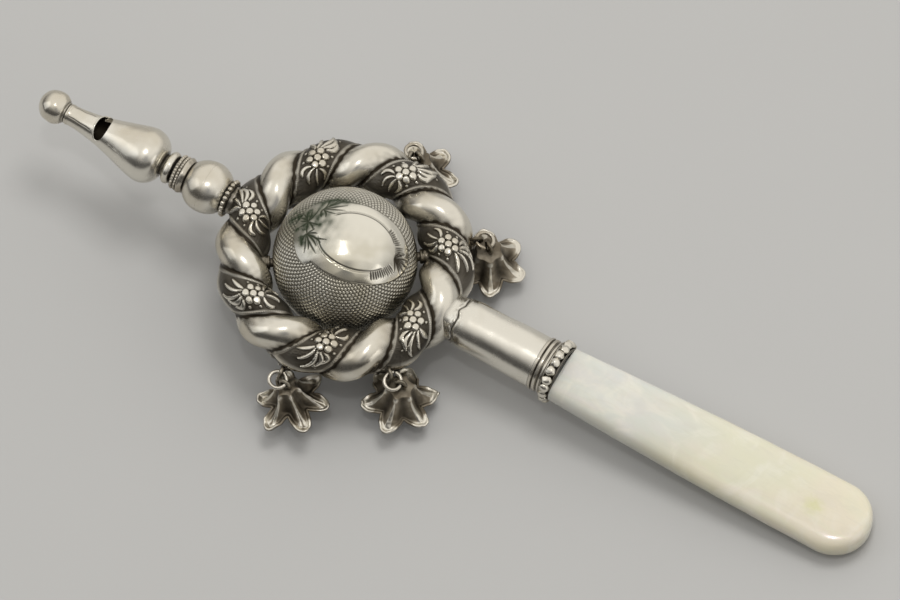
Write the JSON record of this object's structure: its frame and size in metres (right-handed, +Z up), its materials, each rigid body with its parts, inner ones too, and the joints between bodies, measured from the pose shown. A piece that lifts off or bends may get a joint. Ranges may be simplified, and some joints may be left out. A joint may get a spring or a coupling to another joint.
{
  "type": "baby rattle",
  "caption": "Silver rattle and whistle with a turning engine-turned ball in a rope-twist ring, flower bells on jump rings and a pearl handle.",
  "frame": {"origin": "on the surface that the rattle lies on, under the middle of its overall box", "axes": "+X along the rattle from the whistle to the handle, +Z up; the axis dips 5.60 degrees towards the handle"},
  "size_m": [0.1641, 0.0611, 0.0253],
  "materials": {
    "polished": "polished silver with fine scratches and tarnish in the recesses",
    "rope": "polished and chased silver, dark where it is recessed",
    "worn": "worn silver, bright on its edges",
    "oxidised": "oxidised silver, brown black with bright ridges",
    "shot_metal": "dull grey shot",
    "cement": "dull brown filling, hidden",
    "pearl": "polished mother-of-pearl, cream with green and blue-grey clouds"
  },
  "bodies": {
    "rattle": {"mouthpiece_knob": "polished", "whistle_barrel": "polished", "fipple_plug": "oxidised", "reel_collar": "polished", "milled_ring": "worn", "cup_ring": "worn", "knop_upper": "polished", "knop_lower": "polished", "bead_ring": "worn", "ring_cup": "worn", "ring_front": "rope", "ring_back": "rope", "ball_pin": "oxidised", "pin_boss_near": "oxidised", "pin_boss_far": "oxidised", "ferrule": "polished", "ferrule_band": "worn", "ferrule_bead_ring": "worn", "handle_cement": "cement", "handle": "pearl", "bell_staple_1": "oxidised", "bell_staple_2": "oxidised", "bell_staple_3": "oxidised", "bell_staple_4": "oxidised"},
    "ball": {"ball_front": "polished", "ball_back": "polished"},
    "shot_1": {"shot_1": "shot_metal"},
    "shot_2": {"shot_2": "shot_metal"},
    "shot_3": {"shot_3": "shot_metal"},
    "jump_ring_1": {"jump_ring_1": "worn"},
    "bell_1": {"bell_1": "oxidised", "bell_loop_1": "oxidised"},
    "clapper_1": {"clapper_1": "oxidised"},
    "jump_ring_2": {"jump_ring_2": "worn"},
    "bell_2": {"bell_2": "oxidised", "bell_loop_2": "oxidised"},
    "clapper_2": {"clapper_2": "oxidised"},
    "jump_ring_3": {"jump_ring_3": "worn"},
    "bell_3": {"bell_3": "oxidised", "bell_loop_3": "oxidised"},
    "clapper_3": {"clapper_3": "oxidised"},
    "jump_ring_4": {"jump_ring_4": "worn"},
    "bell_4": {"bell_4": "oxidised", "bell_loop_4": "oxidised"},
    "clapper_4": {"clapper_4": "oxidised"}
  },
  "joints": [
    {"name": "ball_spin", "type": "hinge", "parent": "rattle", "child": "ball", "pos_m": [-0.02136, 0.00072, 0.01265], "axis": [0.8384, 0.5388, -0.0822], "continuous": true},
    {"name": "shot_1_roll", "type": "hinge", "parent": "rattle", "child": "shot_1", "pos_m": [-0.02136, 0.00072, 0.01265], "axis": [0.8384, 0.5388, -0.0822], "continuous": true},
    {"name": "shot_2_roll", "type": "hinge", "parent": "rattle", "child": "shot_2", "pos_m": [-0.02136, 0.00072, 0.01265], "axis": [0.8384, 0.5388, -0.0822], "continuous": true},
    {"name": "shot_3_roll", "type": "hinge", "parent": "rattle", "child": "shot_3", "pos_m": [-0.02136, 0.00072, 0.01265], "axis": [0.8384, 0.5388, -0.0822], "continuous": true},
    {"name": "jump_ring_1_swing", "type": "hinge", "parent": "rattle", "child": "jump_ring_1", "pos_m": [-0.00396, -0.01395, 0.01094], "axis": [0.6397, 0.766, -0.0627], "range_deg": [-60, 5]},
    {"name": "bell_1_swing", "type": "hinge", "parent": "jump_ring_1", "child": "bell_1", "pos_m": [-0.00147, -0.0146, 0.01006], "axis": [-0.2045, 0.9781, -0.0387], "range_deg": [-55, 5]},
    {"name": "clapper_1_swing", "type": "hinge", "parent": "bell_1", "child": "clapper_1", "pos_m": [-0.0018, -0.01478, 0.00718], "axis": [-0.2045, 0.9781, -0.0387], "range_deg": [-25, 32]},
    {"name": "jump_ring_2_swing", "type": "hinge", "parent": "rattle", "child": "jump_ring_2", "pos_m": [-0.02073, -0.02241, 0.01077], "axis": [0.9946, 0.0349, -0.0975], "range_deg": [-60, 10]},
    {"name": "bell_2_swing", "type": "hinge", "parent": "jump_ring_2", "child": "bell_2", "pos_m": [-0.01923, -0.02391, 0.01024], "axis": [0.0326, 0.9995, -0.0038], "range_deg": [-30, 20]},
    {"name": "clapper_2_swing", "type": "hinge", "parent": "bell_2", "child": "clapper_2", "pos_m": [-0.01875, -0.02394, 0.00738], "axis": [0.0326, 0.9995, -0.0038], "range_deg": [-30, 32]},
    {"name": "jump_ring_3_swing", "type": "hinge", "parent": "rattle", "child": "jump_ring_3", "pos_m": [-0.02193, 0.02383, 0.011], "axis": [-0.9951, -0.0175, 0.0976], "range_deg": [-60, 2]},
    {"name": "bell_3_swing", "type": "hinge", "parent": "jump_ring_3", "child": "bell_3", "pos_m": [-0.02056, 0.02481, 0.01063], "axis": [0.3127, 0.9442, -0.1038], "range_deg": [-6, 6]},
    {"name": "clapper_3_swing", "type": "hinge", "parent": "bell_3", "child": "clapper_3", "pos_m": [-0.02059, 0.0245, 0.00775], "axis": [0.3127, 0.9442, -0.1038], "range_deg": [-30, 32]},
    {"name": "jump_ring_4_swing", "type": "hinge", "parent": "rattle", "child": "jump_ring_4", "pos_m": [-0.00352, 0.01524, 0.0109], "axis": [-0.6263, 0.7771, 0.0614], "range_deg": [-60, 5]},
    {"name": "bell_4_swing", "type": "hinge", "parent": "jump_ring_4", "child": "bell_4", "pos_m": [-0.00118, 0.01537, 0.01015], "axis": [0.5152, 0.8526, -0.0878], "range_deg": [-55, 5]},
    {"name": "clapper_4_swing", "type": "hinge", "parent": "bell_4", "child": "clapper_4", "pos_m": [-0.00148, 0.01525, 0.00727], "axis": [0.5152, 0.8526, -0.0878], "range_deg": [-25, 32]}
  ]
}
